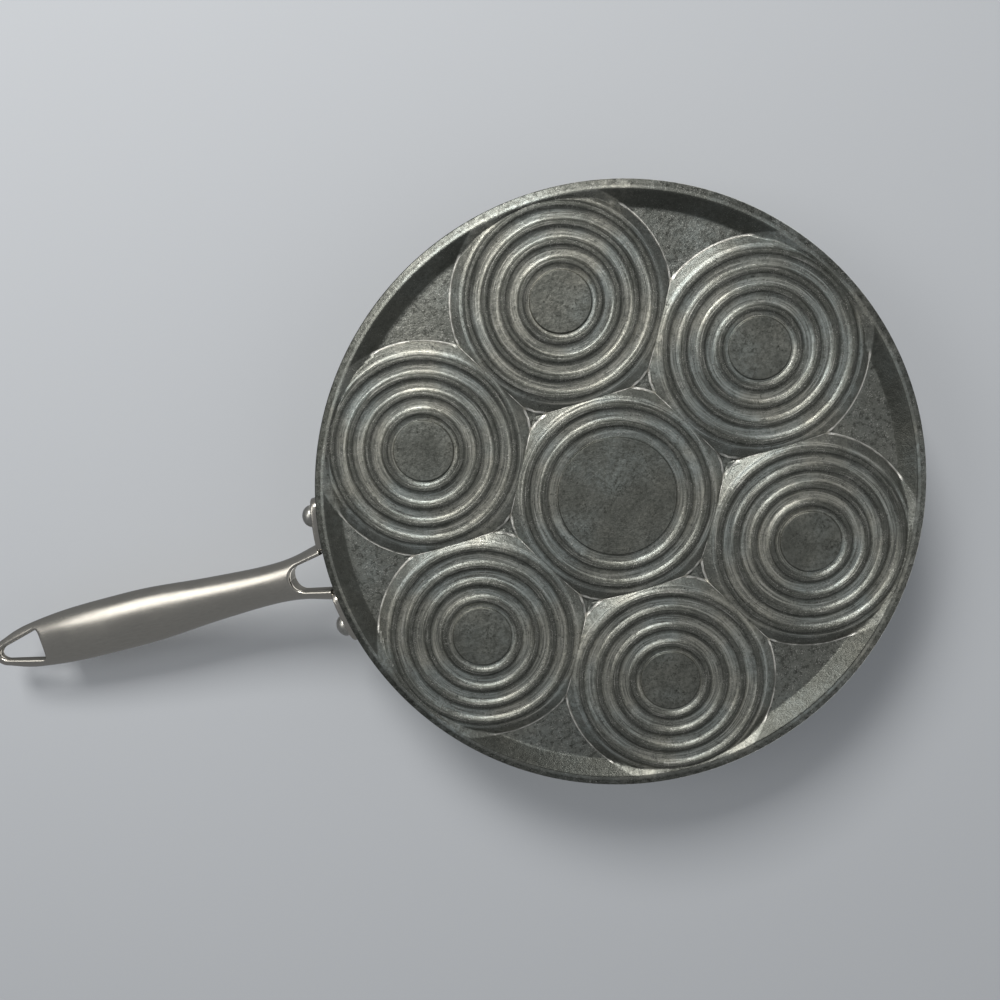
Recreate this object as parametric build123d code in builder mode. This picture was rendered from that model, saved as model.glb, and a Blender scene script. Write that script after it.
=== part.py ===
from build123d import *
import os
from math import asin, atan, atan2, cos, floor, radians, sin, sqrt, tan

# A round cast pan with ringed wells and a forked metal handle held by two rivets, in millimetres.
# The cooking side is up. The origin is on the pan's axis, in the plane that the pan stands on.
# The handle points along -X and rises away from the pan.

# Outer wall, rim and foot of the casting
rim_radius = 133.35
wall_flare = 3.35
pan_height = 22.0
wall_thickness = 3.6
rim_flat = 0.36
foot_width = 4.2
foot_flat = 0.8
foot_rise = 1.0
foot_corner = 0.8
foot_slope_width = 6.3
foot_edge_round = 0.3
dish_corner = 1.5

# Land: the flat plate between the wells and round them
land_under = 5.0
land_thickness = 4.0
land_half_width = 1.5
land_edge_width = 1.77

# Pads: the ringed bosses under the plate, one in the middle and a ring of them round it
pad_count = 6
pad_turn = 1.3
pad_overlap = 4.1
pad_wall_width = 4.5
pad_shoulder_round = 0.9
pad_step_width = 0.3
pad_step_height = 0.8

# Ridges on the pads, which stand on the stove
ridge_edge_margin = 3.0
middle_ridge_setback = 0.5
ridge_spacing = 7.55
ridge_clearance = 0.6
ridge_height = 1.4
ridge_width = 3.7
ridge_flat = 1.5
ridge_round = 0.9
ridge_foot_round = 1.6

# Raised disc at the centre of each outer pad, and the middle pad's wider one, level with its ridges
disc_radius = 12.6
disc_height = 0.9
medallion_radius = 25.0
step_width = 0.7
step_round = 0.4

# Wells: the round hollows of the cooking side, each over its pad
floor_thickness = 3.2
well_wall_width = 2.7
well_corner = 1.5
well_ring_margin = 7.0
well_ring_height = 1.3
well_disc_radius = 10.5
well_disc_height = 0.7
cut_over = 0.2

# Rivets, square to the wall
rivet_half_spacing = 25.4
shank_radius = 2.5
shank_clearance = 0.05
head_radius = 5.0
head_height = 4.2
inner_head_radius = 4.5
inner_head_height = 1.8
inner_head_margin = 0.5
head_gap = 0.12

# Handle: two flanges on the wall, a fork, a grip and a hanging loop
flange_thickness = 3.0
flange_clearance = 0.1
flange_height = 14.0
flange_end_margin = 8.3
flange_corner = 6.0
fork_inner_half_width = 9.1
crotch_half_width = 5.2
crotch_round = 4.5
root_rise = 13.0
tip_rise = 1.0
root_half_width = 14.2
fork_half_width = 10.5
neck_half_width = 9.2
neck_half_thickness = 5.7
swell_half_width = 11.1
swell_half_thickness = 5.9
grip_half_width = 13.3
grip_half_thickness = 6.4
shoulder_half_width = 11.6
shoulder_half_thickness = 4.3
loop_half_width = 8.9
loop_half_thickness = 3.0
tip_half_width = 3.0
tip_half_thickness = 2.0
oval_squareness = 0.25
hole_base_half_width = 7.9
hole_tip_half_width = 2.4
hole_base_round = 2.2
hole_tip_round = 2.2

# Along the handle: distances out from the pan's wall, then distances back from the tip
fork_distance = 13.9
crotch_distance = 18.9
neck_distance = 27.9
swell_distance = 67.9
grip_distance = 111.9
handle_length = 178.2
hole_base_setback = 26.7
shoulder_setback = 26.3
loop_setback = 12.3
hole_tip_setback = 3.8

# Wall and plate, worked out from the sizes above; the rim's two rounds leave its flat between them
foot_radius = rim_radius - wall_flare
land_top = land_under + land_thickness
wall_slope = wall_flare / pan_height
wall_lean = atan(wall_slope)
rim_round = (wall_thickness - rim_flat) * cos(wall_lean) / 2
inner_rim = rim_radius - wall_thickness
inner_foot = inner_rim - (pan_height - land_top) * wall_slope
pad_blank_top = land_under + land_thickness / 2

# Three half wells and their land reach from the middle of the plate to the foot of its wall
pad_spacing = (inner_foot - land_edge_width + land_half_width) * 2 / 3
pad_base_radius = pad_spacing / 2 + pad_overlap
pad_shoulder_radius = pad_base_radius - pad_wall_width
well_top_radius = pad_spacing / 2 - land_half_width
well_floor_radius = well_top_radius - well_wall_width
well_floor = ridge_height + floor_thickness


def wall_radius(height):
    """Outer radius of the pan's wall at a height."""
    return foot_radius + height * wall_slope


def ring_corners(radius, foot, top):
    """The four corners of one rounded ring across a pad or a well, with the rounding of each."""
    corners = [
        (radius - ridge_width / 2, foot),
        (radius - ridge_flat / 2, top),
        (radius + ridge_flat / 2, top),
        (radius + ridge_width / 2, foot),
    ]
    return corners, [ridge_foot_round, ridge_round, ridge_round, ridge_foot_round]


def ring_radii(outermost, centre_radius):
    """Radii of the evenly spaced rings that lie clear outside a centre disc, from the inside out."""
    innermost = centre_radius + step_width + ridge_clearance + ridge_width / 2
    count = floor((outermost - innermost) / ridge_spacing) + 1
    return [outermost - ridge_spacing * k for k in reversed(range(count))]


def pad_outline(centre_radius, centre_height, edge_margin):
    """Half section of one pad: a centre disc, the ridges, the sloping wall and the step at its foot."""
    centre = ridge_height - centre_height
    corners = [(0, centre), (centre_radius, centre), (centre_radius + step_width, ridge_height)]
    rounds = [0, step_round, step_round]
    for radius in ring_radii(pad_shoulder_radius - edge_margin, centre_radius):
        more, more_rounds = ring_corners(radius, ridge_height, 0)
        corners += more
        rounds += more_rounds
    corners += [
        (pad_shoulder_radius, ridge_height),
        (pad_base_radius - pad_step_width, land_under - pad_step_height),
        (pad_base_radius, land_under),
        (pad_base_radius, pad_blank_top),
        (0, pad_blank_top),
    ]
    rounds += [pad_shoulder_round, step_round, 0, 0, 0]
    return corners, rounds


def well_outline():
    """Half section of the space over one well's floor, with the floor's rings left standing."""
    rise = (well_top_radius - well_floor_radius) / (land_top - well_floor)
    top = land_top + cut_over
    centre = well_floor + well_disc_height
    corners = [(0, centre), (well_disc_radius, centre), (well_disc_radius + step_width, well_floor)]
    rounds = [0, step_round, step_round]
    for radius in ring_radii(well_floor_radius - well_ring_margin, well_disc_radius):
        more, more_rounds = ring_corners(radius, well_floor, well_floor + well_ring_height)
        corners += more
        rounds += more_rounds
    corners += [(well_floor_radius, well_floor), (well_top_radius + cut_over * rise, top), (0, top)]
    rounds += [well_corner, 0, 0]
    return corners, rounds


# The inner rivet heads clear the plate's corner, and the handle's lengths start at the wall beside them
rivet_height = land_top + inner_head_radius + inner_head_margin
wall_reach = wall_radius(rivet_height)
tip_reach = wall_reach + handle_length


def wall_plane(side):
    """Plane that touches the outer wall at a rivet; its Z axis points square out of the wall."""
    turn = radians(180) - side * asin(rivet_half_spacing / wall_reach)
    return Plane(
        origin=(wall_reach * cos(turn), wall_reach * sin(turn), rivet_height),
        x_dir=(-sin(turn), cos(turn), 0),
        z_dir=(cos(turn) * cos(wall_lean), sin(turn) * cos(wall_lean), -sin(wall_lean)),
    )


def cap(base, radius, height):
    """Start, middle and end of the arc of a round head on a base; a negative height points down."""
    ball = (radius**2 + height**2) / (2 * height)
    half = atan2(radius, abs(ball - height)) / 2
    middle = (abs(ball) * sin(half), base + height - ball + ball * cos(half))
    return (0, base + height), middle, (radius, base)


def path_height(reach):
    """Height of the handle's middle line, a parabola whose slope eases from root_rise to tip_rise."""
    share = (reach - wall_reach) / handle_length
    first = tan(radians(root_rise))
    last = tan(radians(tip_rise))
    return rivet_height + handle_length * (first * share + (last - first) * share**2 / 2)


# Half section of the casting, before the pads and wells
body_corners = [
    (0, land_under),
    (foot_radius - foot_width - foot_slope_width, land_under),
    (foot_radius - foot_width, 0),
    (foot_radius - foot_width + foot_flat, 0),
    (wall_radius(foot_rise), foot_rise),
    (rim_radius, pan_height),
    (inner_rim, pan_height),
    (inner_foot, land_top),
    (0, land_top),
]
body_rounds = [0, 0, foot_edge_round, foot_edge_round, foot_corner, rim_round, rim_round, dish_corner, 0]

with BuildPart() as outer_pad:
    with BuildSketch(Plane.XZ):
        with BuildLine():
            pad_corners, pad_rounds = pad_outline(disc_radius, disc_height, ridge_edge_margin)
            FilletPolyline(*pad_corners, radius=pad_rounds, close=True)
        make_face()
    revolve(axis=Axis.Z)

with BuildPart() as middle_pad:
    with BuildSketch(Plane.XZ):
        with BuildLine():
            middle_margin = ridge_edge_margin + middle_ridge_setback
            pad_corners, pad_rounds = pad_outline(medallion_radius, ridge_height, middle_margin)
            FilletPolyline(*pad_corners, radius=pad_rounds, close=True)
        make_face()
    revolve(axis=Axis.Z)

with BuildPart() as well:
    with BuildSketch(Plane.XZ):
        with BuildLine():
            well_corners, well_rounds = well_outline()
            FilletPolyline(*well_corners, radius=well_rounds, close=True)
        make_face()
    revolve(axis=Axis.Z)

# The outer pads run into the foot, so they are trimmed halfway across it before they join it
with BuildPart() as pads:
    add(middle_pad.part)
    with PolarLocations(pad_spacing, pad_count, start_angle=180 / pad_count - pad_turn):
        add(outer_pad.part)
    with BuildSketch():
        Circle(foot_radius - foot_width / 2)
    extrude(amount=pad_blank_top, mode=Mode.INTERSECT)

# Rivet, along Z, with the outside of the pan's wall at Z = 0
head_base = flange_clearance + flange_thickness + head_gap
inner_head_base = -wall_thickness * cos(wall_lean) - head_gap

with BuildPart() as rivet_blank:
    with BuildSketch(Plane.XZ):
        with BuildLine():
            Line((0, inner_head_base - inner_head_height), (0, head_base + head_height))
            ThreePointArc(*cap(head_base, head_radius, head_height))
            Polyline(
                (head_radius, head_base),
                (shank_radius, head_base),
                (shank_radius, inner_head_base),
                (inner_head_radius, inner_head_base),
            )
            ThreePointArc(*cap(inner_head_base, inner_head_radius, -inner_head_height))
        make_face()
    revolve(axis=Axis.Z)

with BuildPart() as rivet_hole:
    with BuildSketch(Plane.XY.offset(inner_head_base - inner_head_height)):
        Circle(shank_radius + shank_clearance)
    extrude(amount=head_base + head_height - inner_head_base + inner_head_height)

rivet_planes = [wall_plane(1), wall_plane(-1)]

# Pan: the casting with its pads added and its wells and rivet holes cut
with BuildPart() as pan:
    with BuildSketch(Plane.XZ):
        with BuildLine():
            FilletPolyline(*body_corners, radius=body_rounds, close=True)
        make_face()
    revolve(axis=Axis.Z)
    add(pads.part)
    add(well.part, mode=Mode.SUBTRACT)
    with PolarLocations(pad_spacing, pad_count, start_angle=180 / pad_count - pad_turn):
        add(well.part, mode=Mode.SUBTRACT)
    with Locations(*rivet_planes):
        add(rivet_hole.part, mode=Mode.SUBTRACT)

# Sections of the handle from the wall to the tip: distance from the axis, half width, half thickness
root_reach = wall_reach - flange_thickness
handle_sections = [
    (root_reach, root_half_width, neck_half_thickness),
    (wall_reach + fork_distance, fork_half_width, neck_half_thickness),
    (wall_reach + neck_distance, neck_half_width, neck_half_thickness),
    (wall_reach + swell_distance, swell_half_width, swell_half_thickness),
    (wall_reach + grip_distance, grip_half_width, grip_half_thickness),
    (tip_reach - shoulder_setback, shoulder_half_width, shoulder_half_thickness),
    (tip_reach - loop_setback, loop_half_width, loop_half_thickness),
    (tip_reach, tip_half_width, tip_half_thickness),
]


def oval(half_width, half_thickness):
    """Oval of four arcs: tight sides and gently crowned top and bottom, tangent where they meet."""
    side = half_thickness * (1 - oval_squareness * half_thickness / half_width)
    reach = half_width - side
    crown = (reach**2 + half_thickness**2 - side**2) / (2 * (half_thickness - side))
    drop = crown - half_thickness
    slant = sqrt(reach**2 + drop**2)
    meet_x = reach / slant * crown
    meet_y = drop / slant * crown - drop
    corners = [(meet_x, meet_y), (-meet_x, meet_y), (-meet_x, -meet_y), (meet_x, -meet_y)]
    middles = [(0, half_thickness), (-half_width, 0), (0, -half_thickness), (half_width, 0)]
    for k, middle in enumerate(middles):
        ThreePointArc(corners[k], middle, corners[(k + 1) % len(corners)])


# Flanges: a band round the wall, kept where the two outlines seen along X keep it
flange_low = rivet_height - flange_height / 2
flange_high = rivet_height + flange_height / 2
band_in = flange_clearance / cos(wall_lean)
band_out = (flange_clearance + flange_thickness) / cos(wall_lean)
flange_width = rivet_half_spacing + flange_end_margin - fork_inner_half_width
crotch_reach = wall_reach + crotch_distance
hole_base_reach = tip_reach - hole_base_setback
hole_tip_reach = tip_reach - hole_tip_setback

with BuildPart() as flanges:
    with BuildSketch(Plane.XZ):
        with BuildLine():
            Polyline(
                (wall_radius(flange_low) + band_in, flange_low),
                (wall_radius(flange_low) + band_out, flange_low),
                (wall_radius(flange_high) + band_out, flange_high),
                (wall_radius(flange_high) + band_in, flange_high),
                close=True,
            )
        make_face()
    revolve(axis=Axis.Z)
    with BuildSketch(Plane.YZ):
        for side in (1, -1):
            with Locations((side * (fork_inner_half_width + flange_width / 2), rivet_height)):
                RectangleRounded(flange_width, flange_height, flange_corner)
    extrude(amount=-tip_reach, mode=Mode.INTERSECT)

# Everything inside the flanges' back faces, to clear the handle from the pan's wall
with BuildPart() as wall_room:
    with BuildSketch(Plane.XZ):
        with BuildLine():
            Polyline(
                (0, -pan_height),
                (wall_radius(-pan_height) + band_in, -pan_height),
                (wall_radius(2 * pan_height) + band_in, 2 * pan_height),
                (0, 2 * pan_height),
                close=True,
            )
        make_face()
    revolve(axis=Axis.Z)

# Handle: lofted through its sections, then cut for the fork's opening, the hanging hole and the wall
with BuildPart() as handle:
    for reach, half_width, half_thickness in handle_sections:
        with BuildSketch(Plane(origin=(-reach, 0, path_height(reach)), x_dir=(0, 1, 0), z_dir=(-1, 0, 0))):
            with BuildLine():
                oval(half_width, half_thickness)
            make_face()
    loft()
    with BuildSketch():
        with BuildLine():
            FilletPolyline(
                (-crotch_reach, -crotch_half_width),
                (-root_reach, -fork_inner_half_width),
                (0, -fork_inner_half_width),
                (0, fork_inner_half_width),
                (-root_reach, fork_inner_half_width),
                (-crotch_reach, crotch_half_width),
                radius=[crotch_round, 0, 0, 0, 0, crotch_round],
                close=True,
            )
        make_face()
        with BuildLine():
            FilletPolyline(
                (-hole_base_reach, -hole_base_half_width),
                (-hole_base_reach, hole_base_half_width),
                (-hole_tip_reach, hole_tip_half_width),
                (-hole_tip_reach, -hole_tip_half_width),
                radius=[hole_base_round, hole_base_round, hole_tip_round, hole_tip_round],
                close=True,
            )
        make_face()
    extrude(amount=tip_reach, mode=Mode.SUBTRACT)
    add(wall_room.part, mode=Mode.SUBTRACT)
    add(flanges.part)
    with Locations(*rivet_planes):
        add(rivet_hole.part, mode=Mode.SUBTRACT)

with BuildPart() as rivet_left:
    with Locations(rivet_planes[0]):
        add(rivet_blank.part)

with BuildPart() as rivet_right:
    with Locations(rivet_planes[1]):
        add(rivet_blank.part)

os.makedirs("parts", exist_ok=True)
pan.part.label = "pan"
export_step(pan.part, "parts/pan.step")
handle.part.label = "handle"
export_step(handle.part, "parts/handle.step")
rivet_left.part.label = "rivet_left"
export_step(rivet_left.part, "parts/rivet_left.step")
rivet_right.part.label = "rivet_right"
export_step(rivet_right.part, "parts/rivet_right.step")
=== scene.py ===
"""Round cast pan with ringed pads and wells, and a forked handle of brushed steel held by two rivets."""

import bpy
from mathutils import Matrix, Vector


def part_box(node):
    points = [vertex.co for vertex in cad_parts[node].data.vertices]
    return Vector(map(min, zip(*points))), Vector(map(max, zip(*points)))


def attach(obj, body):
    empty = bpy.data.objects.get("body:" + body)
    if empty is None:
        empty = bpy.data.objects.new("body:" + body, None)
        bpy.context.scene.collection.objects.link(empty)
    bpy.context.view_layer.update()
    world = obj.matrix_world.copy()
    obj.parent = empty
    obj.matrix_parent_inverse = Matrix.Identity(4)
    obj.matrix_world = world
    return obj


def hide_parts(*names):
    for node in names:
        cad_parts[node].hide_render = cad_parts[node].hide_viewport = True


bl_info = {
    "name": "Ringed stovetop pan",
    "version": (1, 0, 0),
    "blender": (4, 5, 0),
    "location": "3D View > Sidebar > Pan",
    "description": "Builds a round cast pan with ringed wells and a riveted steel handle",
    "category": "Add Mesh",
}

from math import asin, atan, cos, pi, radians, sin, tan

import bpy
import numpy as np
from bpy.props import FloatProperty, FloatVectorProperty, PointerProperty
from mathutils import Matrix, Vector

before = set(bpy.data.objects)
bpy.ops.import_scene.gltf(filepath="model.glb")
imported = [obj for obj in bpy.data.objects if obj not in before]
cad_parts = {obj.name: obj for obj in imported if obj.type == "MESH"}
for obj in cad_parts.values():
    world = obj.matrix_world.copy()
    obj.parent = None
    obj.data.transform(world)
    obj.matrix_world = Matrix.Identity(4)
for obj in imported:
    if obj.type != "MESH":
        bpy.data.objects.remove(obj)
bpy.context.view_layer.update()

MM = 0.001
PAN_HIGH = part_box("pan")[1]
HANDLE_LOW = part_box("handle")[0]


def number(name, description, value, unit="NONE"):
    """A number setting, in the unit that Blender holds it in."""
    return FloatProperty(name=name, description=description, default=value, unit=unit, precision=5)


def length(name, description, millimetres):
    """A length setting, given in millimetres and held in metres."""
    return number(name, description, millimetres * MM, "LENGTH")


def angle(name, description, degrees):
    """An angle setting, given in degrees and held in radians."""
    return number(name, description, radians(degrees), "ROTATION")


def place_setting(name, description, place):
    """A place, in metres."""
    return FloatVectorProperty(name=name, description=description, default=place,
                               subtype="TRANSLATION", unit="LENGTH", precision=5)


def linear(value):
    """Linear colour of an sRGB hex value."""
    channels = np.array([int(value[i:i + 2], 16) for i in (1, 3, 5)]) / 255
    lit = np.where(channels <= 0.04045, channels / 12.92, ((channels + 0.055) / 1.055) ** 2.4)
    return tuple(lit) + (1.0,)


def colour(name, description, value):
    """A colour setting, given as an sRGB hex value."""
    return FloatVectorProperty(name=name, description=description, default=linear(value), size=4,
                               subtype="COLOR", min=0, max=1)


class CastingSizes(bpy.types.PropertyGroup):
    """Sizes of the cast pan."""
    lip_radius: length("Lip", "Widest reach of the rim from the axis", PAN_HIGH.x / MM)
    height: length("Height", "From the stove to the top of the rim", PAN_HIGH.z / MM)
    lean: angle("Wall lean", "How far the wall leans out from upright", 8.66)
    wall: length("Wall", "Thickness of the wall", 3.6)
    rim_round: length("Rim rounding", "Radius of the rim's two rounded corners", 1.6)
    foot_width: length("Foot width", "Width of the ring along the pan's foot", 4.2)
    foot_flat: length("Foot flat", "Width of the inner, level part of that ring", 0.8)
    foot_rise: length("Foot rise", "How far the ring's outer edge stands off the stove", 1.0)
    foot_round: length("Foot rounding", "Radius of the foot's outer corner", 0.8)
    slope_width: length("Foot slope", "Width of the slope from the foot up to the plate", 6.3)
    land_under: length("Plate underside", "Height of the plate's underside over the stove", 5.0)
    land_top: length("Plate top", "Height of the plate's top over the stove", 9.0)
    dish_round: length("Dish rounding", "Radius between the plate and the wall", 1.5)
    spacing: length("Pad spacing", "From one pad's centre to the next", 85.0)
    turn: angle("Pad turn", "How far the ring of pads is turned against the handle", 1.3)
    pad_shoulder: length("Pad radius", "Radius of a pad at its shoulder", 42.1)
    pad_base: length("Pad base", "Radius of a pad where it meets the plate", 46.6)
    pad_step: length("Pad step", "Height of the small step at the foot of a pad's wall", 0.8)
    disc: length("Disc", "Radius of the raised disc at the centre of an outer pad", 12.6)
    disc_height: length("Disc height", "How far that disc stands over the grooves", 0.9)
    medallion: length("Middle disc", "Radius of the plain disc of the middle pad", 25.0)
    ridge_outer: length("Outermost ridge", "Radius of the outermost ridge of an outer pad", 39.1)
    middle_setback: length("Middle setback", "How much smaller the middle pad's ridges are", 0.5)
    ridge_spacing: length("Ridge spacing", "From one ridge or well ring to the next", 7.55)
    ridge_height: length("Ridge height", "How far a ridge stands over the grooves", 1.4)
    ridge_width: length("Ridge width", "Width of a ridge with the hollows at its foot", 5.9)
    ridge_flat: length("Ridge crest", "Width of a ridge's worn crest", 0.6)
    well_floor: length("Well floor", "Height of a well's floor over the stove", 4.6)
    well_radius: length("Well radius", "Radius of a well's floor", 38.3)
    well_top: length("Well mouth", "Radius of a well at its mouth", 41.0)
    well_ring: length("Outermost well ring", "Radius of the outermost ring in a well", 31.3)
    well_ring_height: length("Well ring height", "How far a ring stands over the well's floor", 1.3)
    well_disc: length("Well disc", "Radius of the raised disc in a well", 10.5)
    well_disc_height: length("Well disc height", "How far that disc stands over the well's floor", 0.7)


class HandleSizes(bpy.types.PropertyGroup):
    """Sizes of the handle."""
    tip: length("Tip", "Reach of the handle's tip from the pan's axis", -HANDLE_LOW.x / MM)
    root_rise: angle("Rise at the wall", "How steeply the handle leaves the wall", 13.0)
    tip_rise: angle("Rise at the tip", "How steeply the handle still rises at its tip", 1.0)
    grip_half: length("Grip half width", "Half width of the grip at its widest", 13.4)
    grip_thick: length("Grip half thickness", "Half thickness of the grip at its thickest", 6.4)
    edge_round: length("Opening edge", "Rounding along the edges of the fork and the hanging hole", 1.6)
    flange_end: length("Flange end", "How far the flanges reach to each side", 33.7)
    flange_height: length("Flange height", "Height of the flanges along the wall", 14.0)
    flange_thickness: length("Flange thickness", "Thickness of the flanges", 3.0)


class RivetSizes(bpy.types.PropertyGroup):
    """Sizes and places of the two rivets."""
    half_spacing: length("Half spacing", "From the handle's middle plane to a rivet", 25.4)
    height: length("Height", "Height of the rivets over the stove", 14.0)
    head: length("Head", "Radius of the outer head", 5.0)
    head_rise: length("Head rise", "Height of the outer head", 4.2)
    inner_head: length("Inner head", "Radius of the head inside the pan", 4.5)
    inner_rise: length("Inner head rise", "Height of the head inside the pan", 1.8)


class FinishColours(bpy.types.PropertyGroup):
    """Colours of the finishes."""
    bare: colour("Bare casting", "Bare cast aluminium where it looks warm", "#a19f93")
    cool: colour("Cool casting", "Bare cast aluminium where it looks cool", "#979d98")
    # Also the colour of the painted highlight lines where the pads meet the plate and each other
    worn: colour("Bright grain", "Aluminium where its grain is rubbed bright", "#e2dfd6")
    stain: colour("Stain", "Olive stain of heated aluminium", "#6a6b64")
    crest: colour("Crest", "Aluminium rubbed smooth and dark by the stove", "#4c4d47")
    # Baked grime, and also the colour of the painted shade in the creases, on the foot's slope, on the wall
    # towards the handle and inside the handle's openings
    soot_and_shade: colour("Soot", "Baked grime in the creases", "#23241f")
    steel: colour("Steel", "Brushed stainless steel", "#b5b0a6")
    rivet: colour("Rivet", "Aluminium of the rivets", "#bcbab2")
    floor: colour("Floor", "Floor and backdrop", "#babcbe")
    room: colour("Room", "Pale surroundings that the metal mirrors", "#c2c6cc")


class StageSettings(bpy.types.PropertyGroup):
    """Camera and light."""
    camera_place: place_setting("Camera", "Where the camera stands", (-0.02129, -0.05285, -0.38239))
    camera_aim: place_setting("Aim", "Point that the camera looks at", (-0.04835, -0.00144, 0.005))
    camera_up: angle("Up", "Direction on the pan that is up in the picture", -74.33)
    lens: number("Lens", "Focal length on a sensor 36 mm wide", 32.4, "CAMERA")
    key: number("Key light", "Power of the main lamp under the pan", 14.0, "POWER")
    window: number("Window light", "Power of the lamp on the left, under the pan", 3.4, "POWER")
    fill: number("Fill light", "Power of the wide lamp that lifts the shadows under the pan", 3.0, "POWER")
    top: number("Top light", "Power of each of the two lamps over the cooking side", 28.0, "POWER")
    room: number("Room light", "Strength of the pale surroundings", 0.48)


def add_node(tree, kind, inputs=None, output=0, **settings):
    """Adds a node with its settings; an input is a value or the output that feeds it. Returns one output."""
    node = tree.nodes.new(kind)
    for name, value in settings.items():
        setattr(node, name, value)
    for name, value in (inputs or {}).items():
        if isinstance(value, bpy.types.NodeSocket):
            tree.links.new(value, node.inputs[name])
        else:
            node.inputs[name].default_value = value
    return node.outputs[output] if node.outputs else None


def new_material(name):
    """An empty node material and its tree."""
    material = bpy.data.materials.new(name)
    material.use_nodes = True
    material.node_tree.nodes.clear()
    return material, material.node_tree


def metal_surface(tree, tone, metallic, rough, relief, depth, strength):
    """Makes a metal the surface of a material; depth is the height in metres for which relief rises by 1."""
    bump = add_node(tree, "ShaderNodeBump", {
        "Height": relief, "Distance": depth, "Strength": strength}, output="Normal")
    shader = add_node(tree, "ShaderNodeBsdfPrincipled", {
        "Base Color": tone, "Metallic": metallic, "Roughness": rough, "Normal": bump})
    add_node(tree, "ShaderNodeOutputMaterial", {"Surface": shader})


def darker(colour_value, share):
    """A linear colour that gives back only a share of the light."""
    return tuple(share * channel for channel in colour_value[:3]) + (1.0,)


# Points that lie this close to each other are one point
SAME_PLACE = 1e-4 * MM


def join_points(parts):
    """Joins grids of points and faces into one list; points that fall together become one."""
    points, faces, start = [], [], 0
    for part_points, part_faces in parts:
        points.append(part_points)
        faces += [f + start for f in part_faces]
        start += len(part_points)
    points = np.concatenate(points)
    cells = np.round(points[:, :3] / SAME_PLACE).astype(np.int64)
    _, first, same = np.unique(cells, axis=0, return_index=True, return_inverse=True)
    same = same.reshape(-1)
    return points[first], [same[f] for f in faces]


def closed_quads(index):
    """Quads between the rows of a grid of point numbers whose last column joins its first."""
    ahead = np.roll(index, -1, 1)
    return np.stack([index[:-1], index[1:], ahead[1:], ahead[:-1]], -1).reshape(-1, 4)


def fan(hub, row):
    """Triangles from a point to a closed row of points."""
    return np.stack([np.full(len(row), hub), row, np.roll(row, -1)], -1)


def make_piece(name, points, faces, material, body="root", fields=(), with_normals=False):
    """A smooth mesh object from points in metres.

    After its place, a point holds its normal where with_normals is set, then the fields' values in order.
    """
    mesh = bpy.data.meshes.new(name)
    mesh.from_pydata(points[:, :3].tolist(), [], [row for f in faces for row in f.tolist()])
    first = 6 if with_normals else 3
    for k, field in enumerate(fields, first):
        values = points[:, k].astype(np.float32)
        mesh.attributes.new(field, "FLOAT", "POINT").data.foreach_set("value", values)
    mesh.polygons.foreach_set("use_smooth", np.ones(len(mesh.polygons), bool))
    mesh.update()
    if with_normals:
        mesh.normals_split_custom_set_from_vertices(points[:, 3:6].tolist())
    mesh.materials.append(material)
    piece = bpy.data.objects.new(name, mesh)
    bpy.context.scene.collection.objects.link(piece)
    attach(piece, body)
    return piece


def smooth_min(a, b, width):
    """The lower of two heights, with the corner between them rounded where they differ by less than width."""
    near = np.clip(width - np.abs(a - b), 0, None) / width
    return np.minimum(a, b) - near * near * width / 4


def smooth_max(a, b, width):
    """The higher of two heights, with the corner between them rounded."""
    return -smooth_min(-a, -b, width)


def ease(share):
    """Share from 0 to 1 that starts and ends level."""
    share = np.clip(share, 0, 1)
    return share * share * (3 - 2 * share)


# The step round a disc, from its edge to the groove, and the room from there to the nearest ring's crest
DISC_STEP = 0.7 * MM
RING_ROOM = 2.45 * MM
# How steeply a ring's flank leaves the hollow at its foot: 1 is an even ease, more is a wider hollow
RING_HOLLOW = 1.3


def ring_radii(size, outermost, disc):
    """Radii of evenly spaced rings, from the outermost in to the last that leaves room round the disc."""
    count = int((outermost - disc - DISC_STEP - RING_ROOM) / size.ridge_spacing) + 1
    return [outermost - size.ridge_spacing * k for k in range(count)]


def ring_height(size, distance, radii):
    """Share of a ring's height: 1 on its crest, a steep flank, and a wide hollow down to 0 at its foot."""
    share = np.zeros_like(distance)
    for radius in radii:
        outside = size.ridge_width / 2 - np.abs(distance - radius)
        inside = np.clip(outside * 2 / (size.ridge_width - size.ridge_flat), 0, 1)
        share = np.maximum(share, ease(inside**RING_HOLLOW))
    return share


def disc_share(distance, disc):
    """Share of a disc's height: 1 on the disc, easing to 0 over the step round it."""
    return ease((disc + DISC_STEP - distance) / DISC_STEP)


def pad_parts(size, k):
    """Disc radius, disc height and ridge radii of pad k; pad 0 is the middle one, with the wide disc."""
    disc, rise, outermost = size.disc, size.disc_height, size.ridge_outer
    if k == 0:
        disc, rise, outermost = size.medallion, size.ridge_height, size.ridge_outer - size.middle_setback
    return disc, rise, ring_radii(size, outermost, disc)


def pad_centres(size):
    """Centres of the seven pads, the middle one and then six round it, and the six directions."""
    turns = radians(30) - size.turn + np.arange(6) * pi / 3
    ring = size.spacing * np.stack([np.cos(turns), np.sin(turns)], 1)
    return np.concatenate([np.zeros((1, 2)), ring]), turns


def pad_distances(size, x, y):
    """Distance from each pad's centre, one layer for each pad."""
    centres, _ = pad_centres(size)
    across, along = centres.T.reshape(2, -1, *[1] * x.ndim)
    return np.hypot(x - across, y - along)


# Widths over which the casting's surfaces run into each other, as heights
SLOPE_FOOT_BLEND = 0.3 * MM
SLOPE_TOP_BLEND = 0.5 * MM
SHOULDER_BLEND = 0.5 * MM
PAD_BASE_BLEND = 0.25 * MM
WELL_FLOOR_BLEND = 1.2 * MM
WELL_MOUTH_BLEND = 0.45 * MM
# Half the run of the small step at the foot of a pad's wall
STEP_HALF = 0.5 * MM
# Waves of the cast surface, and the width over which they fade towards the foot
WAVE_HEIGHT = 0.04 * MM
WAVE_FADE = 8 * MM


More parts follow.
